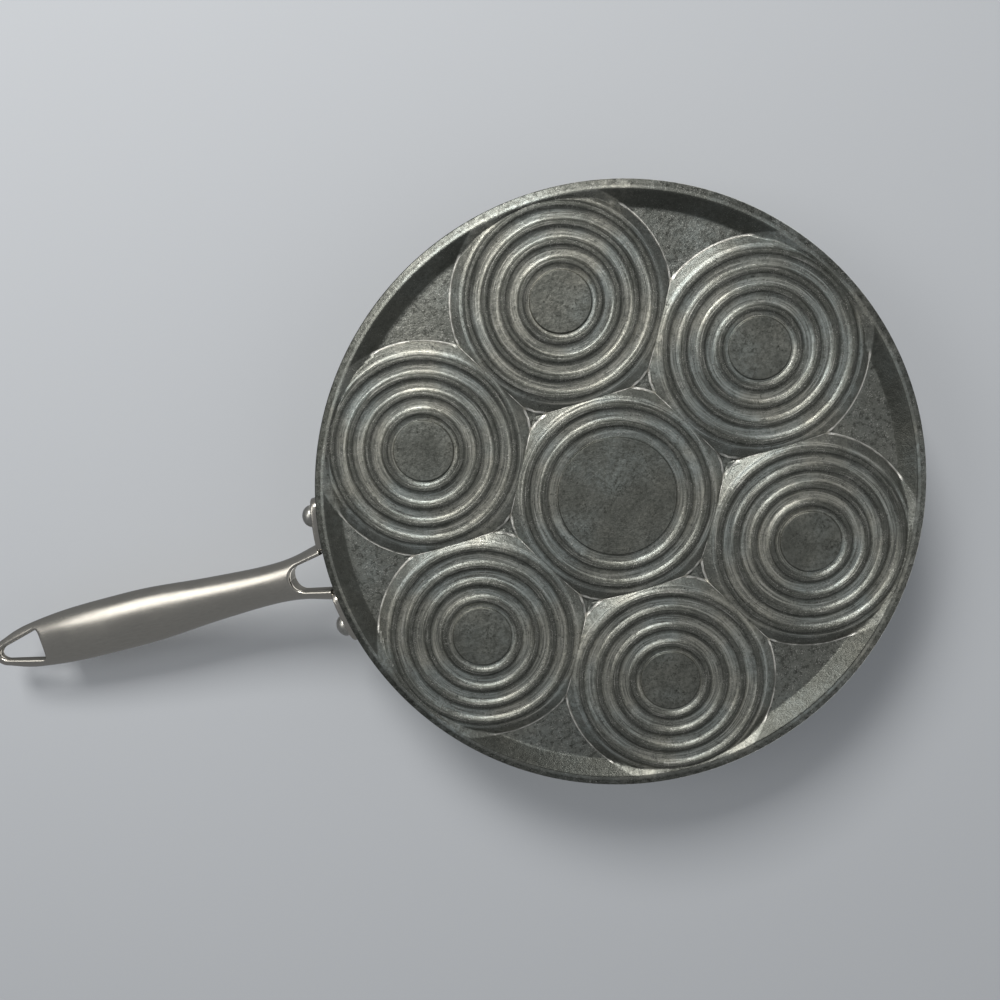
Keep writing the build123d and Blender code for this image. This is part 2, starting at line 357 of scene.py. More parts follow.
def casting_wave(x, y):
    """Uneven cast surface, within 1.6 either way: two crossed waves and a shorter slanting one."""
    crossed = np.sin(x / (11 * MM) + 1.3) * np.sin(y / (14 * MM) + 0.7)
    return crossed + 0.6 * np.sin(x / (6 * MM) - y / (7 * MM))


def under_height(size, x, y):
    """Height of the casting's underside: the lowest of the plate, the seven pads and the foot's slope.

    A pad is the ridges' height less its rings and its disc, or its leaning wall where that is higher.
    """
    radius = np.hypot(x, y)
    steep = size.land_under / size.slope_width
    foot_inner = foot_radius(size) - size.foot_width
    height = smooth_max(np.zeros_like(x), (foot_inner - radius) * steep, SLOPE_FOOT_BLEND)
    height = smooth_min(height, np.full_like(x, size.land_under), SLOPE_TOP_BLEND)
    step_top = size.land_under - size.pad_step
    pad_steep = (step_top - size.ridge_height) / (size.pad_base - STEP_HALF - size.pad_shoulder)
    for k, distance in enumerate(pad_distances(size, x, y)):
        disc, rise, radii = pad_parts(size, k)
        rings = ring_height(size, distance, radii)
        pad = size.ridge_height * (1 - rings) - rise * disc_share(distance, disc)
        wall = size.ridge_height + (distance - size.pad_shoulder) * pad_steep
        wall = wall + 2 * size.pad_step * ease((distance - size.pad_base + STEP_HALF) / (2 * STEP_HALF))
        pad = smooth_max(pad, wall, SHOULDER_BLEND)
        height = smooth_min(height, pad, PAD_BASE_BLEND)
    fade = ease((foot_inner - radius) / WAVE_FADE)
    return np.maximum(height + fade * WAVE_HEIGHT * casting_wave(x, y), 0)


def upper_height(size, x, y):
    """Height of the cooking side: the plate's top, lowered by the seven wells with their rings and discs."""
    height = np.full_like(x, size.land_top)
    steep = (size.land_top - size.well_floor) / (size.well_top - size.well_radius)
    radii = ring_radii(size, size.well_ring, size.well_disc)
    for distance in pad_distances(size, x, y):
        rings = ring_height(size, distance, radii)
        disc = size.well_disc_height * disc_share(distance, size.well_disc)
        well = size.well_floor + size.well_ring_height * rings + disc
        wall = size.well_floor + (distance - size.well_radius) * steep
        well = smooth_max(well, wall, WELL_FLOOR_BLEND)
        height = smooth_min(height, well, WELL_MOUTH_BLEND)
    return height


def wall_slope(size):
    """How far the wall moves out for each length that it rises."""
    return tan(size.lean)


def rim_radius(size):
    """Radius where the outer wall would meet the rim's plane if the rim weren't rounded."""
    return size.lip_radius + size.rim_round * (wall_slope(size) + 1 / cos(size.lean) - 1)


def foot_radius(size):
    """Radius where the outer wall would meet the stove if the foot weren't rounded."""
    return rim_radius(size) - size.height * wall_slope(size)


def wall_reach(size, height):
    """Outer radius of the wall at a height."""
    return foot_radius(size) + height * wall_slope(size)


# Steps along a rounded corner and along a straight run
ROUND_STEPS = 6
STRAIGHT_STEPS = 5


def rounded_line(corners, rounds):
    """Points along straight runs whose inner corners are rounded by arcs that touch both runs."""
    corners = np.array(corners, float)
    line = [corners[0]]
    for k in range(1, len(corners) - 1):
        back, ahead = corners[k - 1] - corners[k], corners[k + 1] - corners[k]
        back, ahead = back / np.hypot(*back), ahead / np.hypot(*ahead)
        half = np.arccos(np.clip(back @ ahead, -1, 1)) / 2
        tangent = rounds[k] / tan(half)
        middle = (back + ahead) / np.hypot(*(back + ahead))
        centre = corners[k] + middle * rounds[k] / sin(half)
        start, end = corners[k] + back * tangent - centre, corners[k] + ahead * tangent - centre
        sweep = (pi - 2 * half) * np.sign(start[0] * end[1] - start[1] * end[0])
        line += list(np.linspace(line[-1], centre + start, STRAIGHT_STEPS + 1)[1:])
        turns = np.linspace(0, sweep, ROUND_STEPS + 1)[1:, None]
        line += list(centre + start * np.cos(turns) + np.array([-start[1], start[0]]) * np.sin(turns))
    line += list(np.linspace(line[-1], corners[-1], STRAIGHT_STEPS + 1)[1:])
    return np.array(line)


# Half the run over which the casting's slopes are taken, and how far off its surroundings are looked at
SLOPE_RUN = 0.03 * MM
HOLLOW_REACH = 0.9 * MM


def surface_normals(size, x, y, sign):
    """Outward normals of one side of the casting, from the slopes of its height; sign is -1 underneath."""
    shape = under_height if sign < 0 else upper_height
    slope_x = (shape(size, x + SLOPE_RUN, y) - shape(size, x - SLOPE_RUN, y)) / (2 * SLOPE_RUN)
    slope_y = (shape(size, x, y + SLOPE_RUN) - shape(size, x, y - SLOPE_RUN)) / (2 * SLOPE_RUN)
    long = np.sqrt(slope_x**2 + slope_y**2 + 1)
    return [-sign * slope_x / long, -sign * slope_y / long, sign / long]


CASTING_FIELDS = ("pad_distance", "seam", "disc_margin", "hollow", "stove_side")


def relief_fields(size, x, y, sign):
    """Values kept with each point for the finish, the lengths in millimetres.

    pad_distance: distance to the nearest pad's centre. seam: how much farther the next pad is.
    disc_margin: distance outside the nearest pad's disc. hollow: how far the surroundings stand out
    beyond the point, averaged over eight directions. stove_side: 1 on the underside.
    """
    shape = under_height if sign < 0 else upper_height
    around = [radians(45) * k for k in range(8)]
    ring = sum(shape(size, x + HOLLOW_REACH * cos(a), y + HOLLOW_REACH * sin(a)) for a in around)
    hollow = sign * (ring / len(around) - shape(size, x, y))
    distances = pad_distances(size, x, y)
    nearest, second = np.sort(distances, 0)[:2]
    disc = size.well_disc
    if sign < 0:
        disc = np.where(np.argmin(distances, 0) == 0, size.medallion, size.disc)
    stove = np.full_like(x, sign < 0)
    return [nearest / MM, (second - nearest) / MM, (nearest - disc) / MM, hollow / MM, stove]


# Steps in which the cells' outlines are drawn: angles along the straight sides, points along an arc
SIDE_STEP = radians(4.2)
SLOPE_STEP = radians(0.7)
ARC_STEPS = 32


def stepped(stops, steps):
    """Values from the first stop to the last: even between two stops, about that run's step apart."""
    runs = [np.linspace(low, high, max(1, round((high - low) / step)), endpoint=False)
            for low, high, step in zip(stops, stops[1:], steps)]
    return np.concatenate([*runs, stops[-1:]])


def cell_edges(size, edge_radius, circles):
    """Outline of each pad's cell, anticlockwise, after the pads' centres.

    The middle cell is a hexagon halfway to its neighbours. An outer cell has an arc about the pan's axis,
    then the lines halfway to its three neighbours. Cells that touch share their points. A line has a point
    where the pads' bases leave it and where it crosses each of the circles.
    """
    centres, turns = pad_centres(size)
    half = size.spacing / 2
    seam_end = np.arccos(half / size.pad_base)
    ends = [atan((radius - size.spacing * cos(pi / 6)) / half) for radius in (*circles, edge_radius)]
    short = stepped([-pi / 6, -seam_end, seam_end, pi / 6], 3 * [SIDE_STEP])[:-1]
    long_side = stepped([-pi / 6, -seam_end, seam_end, *ends], 3 * [SIDE_STEP] + 2 * [SLOPE_STEP])

    def side(centre, turn, angles):
        normal, along = np.array([cos(turn), sin(turn)]), np.array([-sin(turn), cos(turn)])
        return centre + half * (normal + np.tan(angles)[:, None] * along)

    edges = [np.concatenate([side(centres[0], turn, short) for turn in turns])]
    for centre, turn in zip(centres[1:], turns):
        azimuths = turn + np.linspace(-pi / 6, pi / 6, ARC_STEPS, endpoint=False)
        arc = edge_radius * np.stack([np.cos(azimuths), np.sin(azimuths)], 1)
        edges.append(np.concatenate([
            arc,
            side(centre, turn + 2 * pi / 3, -long_side[:0:-1]),
            side(centre, turn + pi, short),
            side(centre, turn + 4 * pi / 3, long_side[:-1]),
        ]))
    return centres, edges


def crossing(centre, ray, radius):
    """Distance along rays from a centre to the circle of a radius about the pan's axis."""
    along = ray @ centre
    return -along + np.sqrt(np.maximum(radius**2 - centre @ centre + along**2, 0))


# Rows of a cell. The first list lies across each ring, in half widths from its crest. The others are shares
# of the way over a pad's or well's wall, over the plate, over the foot's slope and on to the cell's edge.
UNDER_ROWS = (
    [-1.06, -0.86, -0.66, -0.5, -0.32, -0.12, 0.12, 0.32, 0.5, 0.66, 0.86, 1.06, 1.27, 1.51],
    [0.12, 0.2, 0.3, 0.42, 0.56, 0.7, 0.78, 0.84, 0.9, 0.95, 1.0],
    [0.3, 0.6, 0.85, 0.96, 1.0],
    [0.05, 0.15, 0.4, 0.7, 0.9, 0.97, 1.0],
    [0.4, 1.0],
)
UPPER_ROWS = (
    [-1.06, -0.74, -0.44, -0.14, 0.14, 0.44, 0.74, 1.06, 1.4],
    np.linspace(0, 1, 7)[1:],
    [0.5, 1.0],
    [1.0],
    [1.0],
)
# Where a wall, the plate and the slope may end along a row, as shares of what is left of it beyond the
# rings: at least so far past the end before it, and at most so far out
END_LIMITS = ((0.25, 0.86), (0.04, 0.94), (0.03, 0.985))
# Distance between rows on a disc, its least number of rows, and how far they stop short of its edge
DISC_ROW = 2.8 * MM
DISC_ROWS = 5
DISC_ROOM = 0.25 * MM
# Rows over the step at a disc's edge, as distances out from the edge
EDGE_ROWS = np.linspace(0, 1, 5) * MM
# How far the rows across the rings stop short of a shoulder or a well's wall, and a wall's rows pass its base
SHOULDER_ROOM = 0.6 * MM
CORNER_ROOM = 1.3 * MM
BASE_ROOM = 0.7 * MM


def cell_plan(size, k, sign):
    """Disc, ring radii, end of the ringed part and end of the wall of pad k, or of a well."""
    if sign < 0:
        disc, _, rings = pad_parts(size, k)
        return disc, rings, size.pad_shoulder - SHOULDER_ROOM, size.pad_base + BASE_ROOM
    rings = ring_radii(size, size.well_ring, size.well_disc)
    return size.well_disc, rings, size.well_radius - CORNER_ROOM, size.well_top


def cell_radii(rings, half_width, disc, shares):
    """Distances from a pad's centre at which it is sampled: the disc and its step, then across each ring."""
    rows = max(DISC_ROWS, round(disc / DISC_ROW))
    inner = np.linspace(0, disc - DISC_ROOM, rows + 1)[1:]
    across = half_width * np.array(shares)
    return np.concatenate([inner, disc + EDGE_ROWS, *[radius + across for radius in sorted(rings)]])


def casting_cells(size, edge_radius, sign):
    """Grids over the seven cells of one side; each is polar about its pad's centre."""
    shape, layout, circles = upper_height, UPPER_ROWS, ()
    bounds = (2 * edge_radius, 2 * edge_radius)
    if sign < 0:
        foot_inner = foot_radius(size) - size.foot_width
        shape, layout, circles = under_height, UNDER_ROWS, (foot_inner - size.slope_width, foot_inner)
        bounds = circles
    centres, edges = cell_edges(size, edge_radius, circles)
    parts = []
    for k, (centre, edge) in enumerate(zip(centres, edges)):
        reach = np.hypot(*(edge - centre).T)
        ray = (edge - centre) / reach[:, None]
        disc, rings, shoulder, base = cell_plan(size, k, sign)
        fixed = cell_radii(rings, size.ridge_width / 2, disc, layout[0])
        fixed = fixed[fixed < shoulder]
        room = reach - fixed[-1]
        ends = [np.zeros_like(reach)]
        targets = [base] + [crossing(centre, ray, radius) for radius in bounds]
        for target, (gap, most) in zip(targets, END_LIMITS):
            ends.append(np.clip((target - fixed[-1]) / room, ends[-1] + gap, most))
        rows = [np.outer(fixed, np.ones_like(reach))]
        for low, high, shares in zip(ends, [*ends[1:], 1.0], layout[1:]):
            rows.append(fixed[-1] + room * (low + (high - low) * np.array(shares)[:, None]))
        radii = np.concatenate(rows)
        place = centre + radii[..., None] * ray
        x, y = np.append(place.reshape(-1, 2), [centre], 0).T
        points = np.stack([x, y, shape(size, x, y), *surface_normals(size, x, y, sign),
                           *relief_fields(size, x, y, sign)], 1)
        index = np.arange(radii.size).reshape(radii.shape)
        faces = [closed_quads(index), fan(radii.size, index[0])]
        parts.append((points, [f[:, ::sign] for f in faces]))
    return parts


# Distance in millimetres that the wall's points hold, beyond every pad
FAR_OFF = 60.0
# How far inside the wall's inner face the underside's finish starts on the foot
FOOT_FINISH = 2 * MM
# How strongly a rounded edge counts as standing out, and the least distance over which its bend is taken
EDGE_HOLLOW = 0.25
BEND_RUN = 0.1 * MM
# Rounding of the foot's corner, between its flat and its rise
FOOT_CORNER_ROUND = 0.3 * MM


def casting_wall(size, under_edge, upper_edge):
    """The foot, the leaning wall, the rim and the dish's corner: one half section carried round the axis.

    The underside's finish runs from the foot to the third rounded corner, the rim's outer one.
    """
    slope = wall_slope(size)
    rim, foot = rim_radius(size), foot_radius(size)
    inner = rim - size.wall
    line = rounded_line(
        [(under_edge, 0), (foot - size.foot_width + size.foot_flat, 0),
         (foot + size.foot_rise * slope, size.foot_rise), (rim, size.height), (inner, size.height),
         (inner - (size.height - size.land_top) * slope, size.land_top), (upper_edge, size.land_top)],
        [0, FOOT_CORNER_ROUND, size.foot_round, size.rim_round, size.rim_round, size.dish_round, 0])
    turns = radians(30) - size.turn - pi / 6 + np.arange(6 * ARC_STEPS) * 2 * pi / (6 * ARC_STEPS)
    run = np.gradient(line, axis=0)
    step = np.hypot(*run.T)
    heading = np.unwrap(np.arctan2(run[:, 1], run[:, 0]))
    bend = np.gradient(heading) / np.maximum(step, BEND_RUN) * MM
    rim_end = 3 * (ROUND_STEPS + STRAIGHT_STEPS)
    outside = (line[:, 0] > inner - FOOT_FINISH) & (np.arange(len(line)) <= rim_end)
    out, down = run[:, 1] / step, -run[:, 0] / step
    far = np.full(len(line), FAR_OFF)
    level = np.ones_like(turns)
    columns = [(line[:, 0], np.cos(turns)), (line[:, 0], np.sin(turns)), (line[:, 1], level),
               (out, np.cos(turns)), (out, np.sin(turns)), (down, level),
               (far, level), (far, level), (far, level), (-EDGE_HOLLOW * bend, level), (outside, level)]
    points = np.stack([np.outer(along, around).ravel() for along, around in columns], 1)
    index = np.arange(len(points)).reshape(len(line), -1)
    return points, [closed_quads(index)[:, ::-1]]


# Noise patterns of the casting, from wide to fine: their grain in millimetres, detail and roughness. The
# streaks' noise is turned about each pad's centre.
CASTING_NOISES = {
    "tints": (38.0, 2.0, 0.55), "clouds": (24.0, 3.0, 0.55), "line_patches": (8.0, 3.0, 0.55),
    "disc_patches": (7.0, 3.0, 0.55), "pit_patches": (6.0, 3.0, 0.55), "fleck_patches": (5.0, 3.0, 0.55),
    "burns": (3.5, 5.0, 0.7), "blotches": (3.0, 4.0, 0.65), "rust": (2.2, 5.0, 0.75),
    "lumps": (2.0, 4.0, 0.55), "speckles": (1.5, 5.0, 0.75), "streaks": (1.0, 4.0, 0.7),
    "grain": (0.8, 4.0, 0.7), "sand": (0.4, 2.0, 0.55),
}
# Streaks to a millimetre across them, then along them
STREAK_SCALE = (1.8, 0.05, 0.05)


def casting_steps(size):
    """Steps of the casting's finish in order; each row names the value that it makes.

    MASK eases from one value of what it reads to another, and gives 0 and 1 there, or else its last two
    values. The other steps are plain arithmetic. Distances and heights are in millimetres.
    """
    shoulder, base = size.pad_shoulder / MM, size.pad_base / MM
    land, ridge = size.land_under / MM, size.ridge_height / MM
    return (
        # Zones of the underside: pads, discs, rings, plate, outer wall, foot's slope, crests and grooves
        ("pad", "MASK", "pad_distance", shoulder + 0.9, shoulder - 0.1, 0.0, "stove_side"),
        ("disc", "MASK", "disc_margin", 0.25, -0.15, 0.0, "stove_side"),
        ("rings", "SUBTRACT", "pad", "disc"),
        ("plate", "MASK", "pad_distance", base - 0.2, base + 0.6, 0.0, "stove_side"),
        ("wall", "MASK", "disc_margin", FAR_OFF - 4.0, FAR_OFF - 2.0, 0.0, "stove_side"),
        ("slope", "SUBTRACT", "plate", "wall"),
        ("slope", "MASK", "Z", land - 0.05, land - 0.4, 0.0, "slope"),
        ("crest", "MULTIPLY_ADD", "disc", -0.55, "pad"),
        ("crest", "MASK", "Z", ridge - 0.55, ridge - 1.0, 0.0, "crest"),
        ("groove", "MASK", "Z", ridge - 0.4, ridge - 0.1, 0.0, "pad"),
        # Tint, stain and the turned streaks
        ("tint", "MASK", "tints", 0.4, 0.6),
        ("cloud", "MASK", "clouds", 0.68, 0.32),
        ("blotch", "MASK", "blotches", 0.35, 0.62, 0.0, 0.75),
        ("clean_streaks", "MASK", "streaks", 0.4, 0.62, 0.0, 0.8),
        ("dark_streaks", "MASK", "streaks", 0.5, 0.36, 0.0, 0.34),
        ("bright_streaks", "MASK", "streaks", 0.56, 0.68, 0.0, 0.26),
        ("rubbed", "MASK", "blotches", 0.3, 0.7, 1.0, 0.55),
        ("disc_grain", "MASK", "grain", 0.3, 0.7, 0.0, 0.5),
        ("disc_patches", "MASK", "disc_patches", 0.4, 0.62, 0.0, 0.1875),
        ("mottle", "MASK", "speckles", 0.43, 0.62, 0.0, 0.3),
        ("mottle", "ADD", "mottle", "disc_patches"),
        # Rust on the plate, less on the slope; baked fat on the wall, with painted shade towards the handle
        ("rust_zone", "MULTIPLY_ADD", "slope", -0.6, "plate"),
        ("rust", "MASK", "rust", 0.5, 0.6, 0.0, "rust_zone"),
        ("near_handle", "MASK", "X", -60.0, -115.0),
        ("burnt_and_shade", "MASK", "burns", 0.35, 0.65, 0.15, 0.5),
        # Painted shade: the wall is darkened further towards the handle
        ("burnt_and_shade", "MULTIPLY_ADD", "near_handle", 0.22, "burnt_and_shade"),
        # Pits, and painted shade that darkens the creases
        ("pit_patches", "MASK", "pit_patches", 0.42, 0.6, 0.15, 1.0),
        ("pits", "MASK", "grain", 0.54, 0.62, 0.0, "pit_patches"),
        ("pit_strength", "MULTIPLY_ADD", "slope", -0.5, 0.75),
        ("crease_shade", "MULTIPLY_ADD", "blotches", 0.16, "hollow"),
        ("crease_shade", "MASK", "crease_shade", 0.15, 0.34),
        # Bright flecks, fewer on the discs, the slope and the wall near the handle
        ("fleck_patches", "MASK", "fleck_patches", 0.4, 0.6, 0.25, 1.0),
        ("flecks", "MASK", "sand", 0.55, 0.7, 0.0, "fleck_patches"),
        ("smooth_wall", "MULTIPLY", "wall", "near_handle"),
        ("smooth_wall", "MULTIPLY", "smooth_wall", 0.79),
        ("smooth", "MAXIMUM", "disc", "slope"),
        ("smooth", "MAXIMUM", "smooth", "smooth_wall"),
        ("fleck_strength", "MULTIPLY_ADD", "smooth", -0.38, 0.5),
        # Painted highlights: thin bright lines where a pad meets the plate and where it meets the next pad
        ("by_plate", "MASK", "Z", land - 1.6, land - 0.8, 0.0, "stove_side"),
        ("base_highlight_line", "SUBTRACT", "pad_distance", base - 0.1),
        ("base_highlight_line", "ABSOLUTE", "base_highlight_line"),
        ("base_highlight_line", "MASK", "base_highlight_line", 0.6, 0.3, 0.0, "by_plate"),
        ("between", "MASK", "pad_distance", shoulder + 1.1, shoulder + 1.9, 0.0, "stove_side"),
        ("between", "MASK", "pad_distance", base + 0.6, base - 0.2, 0.0, "between"),
        ("seam_highlight_line", "MASK", "seam", 0.5, 0.2, 0.0, "between"),
        ("lines", "MAXIMUM", "base_highlight_line", "seam_highlight_line"),
        ("highlight_line_strength", "MASK", "line_patches", 0.35, 0.6, 0.2125, 0.85),
        # Roughness, and the relief in millimetres
        ("rough", "MASK", "grain", 0.2, 0.8, 0.35, 0.48),
        ("rough", "MULTIPLY_ADD", "crest", 0.1, "rough"),
        ("dull", "MAXIMUM", "disc", "crease_shade"),
        ("rough", "MULTIPLY_ADD", "dull", 0.06, "rough"),
        ("relief", "MULTIPLY", "grain", 0.09),
        ("relief", "MULTIPLY_ADD", "streaks", 0.08, "relief"),
        ("relief", "MULTIPLY_ADD", "sand", 0.05, "relief"),
        ("lump_height", "MULTIPLY_ADD", "disc", 0.06, 0.2),
        ("relief", "MULTIPLY_ADD", "lumps", "lump_height", "relief"),
    )


# Layers of colour over the bare metal, from the lowest up: where, how strongly, and which colour
CASTING_LAYERS = (
    (1.0, "cloud", "stain"), (1.0, "blotch", "stain"), ("groove", "clean_streaks", "metal"),
    ("crest", "rubbed", "crest"), ("rings", "dark_streaks", "soot_and_shade"), ("rings", "bright_streaks", "worn"),
    ("disc", "disc_grain", "stain"), ("disc", "mottle", "soot_and_shade"), ("plate", 0.45, "stain"),
    # Painted shade: soot darkens the foot's slope all round, and the wall more towards the handle
    ("rust", 0.55, "soot_and_shade"), ("slope", 0.56, "soot_and_shade"), ("wall", "burnt_and_shade", "soot_and_shade"),
    # Painted shade: the creases are darkened towards the soot colour
    ("pits", "pit_strength", "soot_and_shade"), ("crease_shade", 0.28, "soot_and_shade"), ("flecks", "fleck_strength", "worn"),
    # Painted highlights: the thin bright lines in the bright grain colour
    ("lines", "highlight_line_strength", "worn"),
)
MASK_INPUTS = ("Value", "From Min", "From Max", "To Min", "To Max")


def cast_aluminium(size, colours):
    """Bare sand-cast aluminium, darkened by heat and baked fat, with its ridges rubbed smooth by the stove.

    To the eye: a dull, mottled grey metal with an olive tint; the grooves are pale and grainy with fine
    circular streaks, the crests and discs darker and smoother, and dark pits and spots lie over the plate.
    Painted shade darkens the creases, the foot's slope and the wall towards the handle, and painted
    highlights run as thin bright lines where the pads meet the plate and each other.
    """
    material, tree = new_material("aged_cast_aluminium")
    place = add_node(tree, "ShaderNodeVectorMath", {
        0: add_node(tree, "ShaderNodeTexCoord", output="Object"), 1: 3 * (1 / MM,)}, operation="MULTIPLY")
    made = {axis: add_node(tree, "ShaderNodeSeparateXYZ", {0: place}, output=axis) for axis in "XYZ"}
    for field in CASTING_FIELDS:
        made[field] = add_node(tree, "ShaderNodeAttribute", output="Fac", attribute_name=field)
    turned = add_node(tree, "ShaderNodeCombineXYZ", {0: made["pad_distance"], 1: made["X"], 2: made["Y"]})
    turned = add_node(tree, "ShaderNodeVectorMath", {0: turned, 1: STREAK_SCALE}, operation="MULTIPLY")
    for name, (grain, detail, rough) in CASTING_NOISES.items():
        made[name] = add_node(tree, "ShaderNodeTexNoise", {
            "Vector": turned if name == "streaks" else place, "Scale": 1 / grain, "Detail": detail,
            "Roughness": rough}, output="Fac")
    for name, step, *values in casting_steps(size):
        values = [made.get(value, value) for value in values]
        if step == "MASK":
            made[name] = add_node(tree, "ShaderNodeMapRange", dict(zip(MASK_INPUTS, values)),
                                  interpolation_type="SMOOTHSTEP")
        else:
            made[name] = add_node(tree, "ShaderNodeMath", dict(enumerate(values)), operation=step)
    metal = add_node(tree, "ShaderNodeMix", {
        0: made["tint"], 6: colours.bare, 7: colours.cool}, output=2, data_type="RGBA")
    tone = metal
    for zone, strength, name in CASTING_LAYERS:
        share = add_node(tree, "ShaderNodeMath", {
            0: made.get(zone, zone), 1: made.get(strength, strength)}, operation="MULTIPLY")
        layer = metal if name == "metal" else getattr(colours, name)
        tone = add_node(tree, "ShaderNodeMix", {0: share, 6: tone, 7: layer}, output=2, data_type="RGBA")
    metal_surface(tree, tone, 0.9, made["rough"], made["relief"], MM, 0.9)
    return material


# How far out of the foot's inner edge, and out of the dish's rounding, the wall's section takes over
FOOT_LAP = 0.4 * MM
DISH_LAP = 0.05 * MM


class PAN_OT_casting(bpy.types.Operator):
    """Makes the cast pan: its underside with the pads, the cooking side with the wells, and the wall."""
    bl_idname = "pan.casting"
    bl_label = "Casting"

    def execute(self, context):
        size = context.scene.pan_casting
        under_edge = foot_radius(size) - size.foot_width + FOOT_LAP
        inner_foot = rim_radius(size) - size.wall - (size.height - size.land_top) * wall_slope(size)
        upper_edge = inner_foot - size.dish_round + DISH_LAP
        parts = casting_cells(size, under_edge, -1) + casting_cells(size, upper_edge, 1)
        parts.append(casting_wall(size, under_edge, upper_edge))
        points, faces = join_points(parts)
        material = cast_aluminium(size, context.scene.pan_colours)
        piece = make_piece("pan_casting", points, faces, material, fields=CASTING_FIELDS, with_normals=True)
        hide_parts("pan")
        return {"FINISHED"}


def spline(knots, values, at):
    """Natural cubic spline through values at knots: the second slopes solve one small linear system."""
    step = np.diff(knots)
    count = len(knots)
    system, right = np.eye(count), np.zeros(count)
    for k in range(1, count - 1):
        system[k, k - 1:k + 2] = step[k - 1], 2 * (step[k - 1] + step[k]), step[k]
        right[k] = 6 * ((values[k + 1] - values[k]) / step[k] - (values[k] - values[k - 1]) / step[k - 1])
    bend = np.linalg.solve(system, right)
    k = np.clip(np.searchsorted(knots, at) - 1, 0, count - 2)
    a, b = (knots[k + 1] - at) / step[k], (at - knots[k]) / step[k]
    return (a * values[k] + b * values[k + 1]
            + ((a**3 - a) * bend[k] + (b**3 - b) * bend[k + 1]) * step[k] ** 2 / 6)


# Sections of the handle in millimetres: place, half width, half thickness and squareness. The first list is
# measured out from the wall as far as the grip, the second back from the tip.
ROOT_SECTIONS = ((-3.0, 14.2, 6.0, 2.8), (4.9, 12.6, 5.9, 2.7), (13.9, 10.5, 5.7, 2.5), (27.9, 9.2, 5.7, 2.3),
                 (47.9, 9.8, 5.8, 2.2), (67.9, 11.1, 5.9, 2.2), (92.9, 13.1, 6.2, 2.2))
TIP_SECTIONS = ((40.3, 12.9, 5.7, 2.2), (26.3, 11.6, 4.4, 2.2), (12.3, 8.9, 3.3, 2.1), (6.3, 6.8, 2.8, 2.1),
                (0.0, 4.9, 2.3, 2.1))
GRIP_PLACE = 111.9
GRIP_SQUARENESS = 2.2


def handle_plan(size, wall):
    """Reach, half width and half thickness of the handle's sections, in metres, and their squareness."""
    grip = (GRIP_PLACE, size.grip_half / MM, size.grip_thick / MM, GRIP_SQUARENESS)
    root, tip = np.array([*ROOT_SECTIONS, grip]), np.array(TIP_SECTIONS)
    root[:, 0] += wall / MM
    tip[:, 0] = size.tip / MM - tip[:, 0]
    reach, half, thick, square = np.concatenate([root, tip]).T
    return reach * MM, half * MM, thick * MM, square


def handle_height(size, wall, rivet_height, reach):
    """Height of the handle's middle line: a parabola from root_rise at the wall to tip_rise at the tip."""
    run = size.tip - wall
    share = (reach - wall) / run
    return rivet_height + run * (tan(size.root_rise) * share
                                 + (tan(size.tip_rise) - tan(size.root_rise)) * share**2 / 2)


# The fork's opening: how far it starts inside the wall and ends outside it, and its half widths there
FORK_START = 3.0 * MM
FORK_END = 18.9 * MM
FORK_START_HALF = 9.1 * MM
FORK_END_HALF = 5.2 * MM
# The hanging hole: how far its base and its end lie from the tip, and its half widths there
HOLE_BASE = 26.7 * MM
HOLE_END = 3.8 * MM
HOLE_BASE_HALF = 7.9 * MM
HOLE_END_HALF = 2.4 * MM
# Lengths over which the ends of the openings and of the loop are rounded
FORK_BLEND = 5.2 * MM
HOLE_BASE_BLEND = 2.6 * MM
HOLE_END_BLEND = 3.4 * MM
TIP_ROUND = 4.5 * MM


def opening_ends(size, wall):
    """Reaches where the fork's opening ends and where the hanging hole starts and ends."""
    return wall + FORK_END, size.tip - HOLE_BASE, size.tip - HOLE_END


def rounded_end(distance, blend, power):
    """Share of a width at a distance inside its end: 0 at the end, 1 from blend inwards."""
    inside = 1 - np.clip(distance / blend, 0, 1)
    return np.maximum(1 - inside**power, 0) ** (1 / power)


def taper(reach, start, end, start_half, end_half):
    """Half width that changes evenly from one reach to another."""
    return start_half - (reach - start) * (start_half - end_half) / (end - start)


def opening_edge(size, wall, reach):
    """Half width of the fork's opening and of the hanging hole at a reach; their ends are rounded."""
    crotch, base, end = opening_ends(size, wall)
    fork = taper(reach, wall - FORK_START, crotch, FORK_START_HALF, FORK_END_HALF)
    fork = fork * rounded_end(crotch - reach, FORK_BLEND, 2.3)
    hole = taper(reach, base, end, HOLE_BASE_HALF, HOLE_END_HALF)
    hole = hole * rounded_end(reach - base, HOLE_BASE_BLEND, 3.0)
    hole = hole * rounded_end(end - reach, HOLE_END_BLEND, 2.2)
    return np.where(reach <= crotch, fork, np.where((reach >= base) & (reach <= end), hole, 0.0))


def handle_stations(size, wall):
    """Reaches of the handle's cross-sections, close together where an opening starts or ends."""
    crotch, base, end = opening_ends(size, wall)
    quarter = np.linspace(0, pi / 2, 13)
    return np.unique(np.concatenate([
        np.linspace(wall + 1.4 * MM, crotch - FORK_BLEND, 14),
        crotch - FORK_BLEND + FORK_BLEND * np.sin(quarter),
        crotch + np.array([0.3, 0.7, 1.2, 2.0, 3.0]) * MM,
        np.linspace(crotch + 4.5 * MM, base - 4.0 * MM, 64),
        base - np.array([2.6, 1.7, 1.0, 0.5, 0.2]) * MM,
        base + HOLE_BASE_BLEND * (1 - np.cos(quarter)),
        np.linspace(base + HOLE_BASE_BLEND, end - HOLE_END_BLEND, 14),
        end - HOLE_END_BLEND + HOLE_END_BLEND * np.sin(quarter),
        end + (size.tip - end) * np.sin(quarter),
    ]).round(7))


